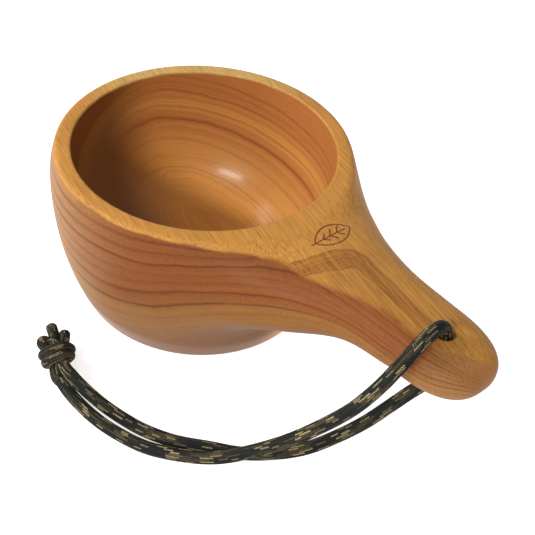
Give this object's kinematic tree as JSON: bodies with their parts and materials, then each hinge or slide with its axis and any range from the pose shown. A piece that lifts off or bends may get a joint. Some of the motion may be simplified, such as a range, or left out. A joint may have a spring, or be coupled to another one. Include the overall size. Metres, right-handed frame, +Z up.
{
  "type": "kuksa wooden cup",
  "caption": "Wooden kuksa cup with an open bowl and a short handle, and a braided cord lanyard knotted through a hole near the end of the handle.",
  "frame": {"origin": "centre of the flat foot under the bowl, on the surface the cup stands on", "axes": "+X along the handle from the bowl, +Z up out of the bowl, +Y across the handle, on the side away from the cord"},
  "size_m": [0.1475, 0.1057, 0.0549],
  "materials": {
    "lacquered_wood": "satin lacquer over straight-grained golden and red-brown wood",
    "braided_cord": "fine braided nylon in black, dark green and tan"
  },
  "bodies": {
    "root": {"cup_body": "lacquered_wood", "lanyard_upper_leg": "braided_cord", "lanyard_lower_leg": "braided_cord", "lanyard_knot": "braided_cord", "lanyard_tail_a": "braided_cord", "lanyard_tail_b": "braided_cord"}
  },
  "joints": []
}
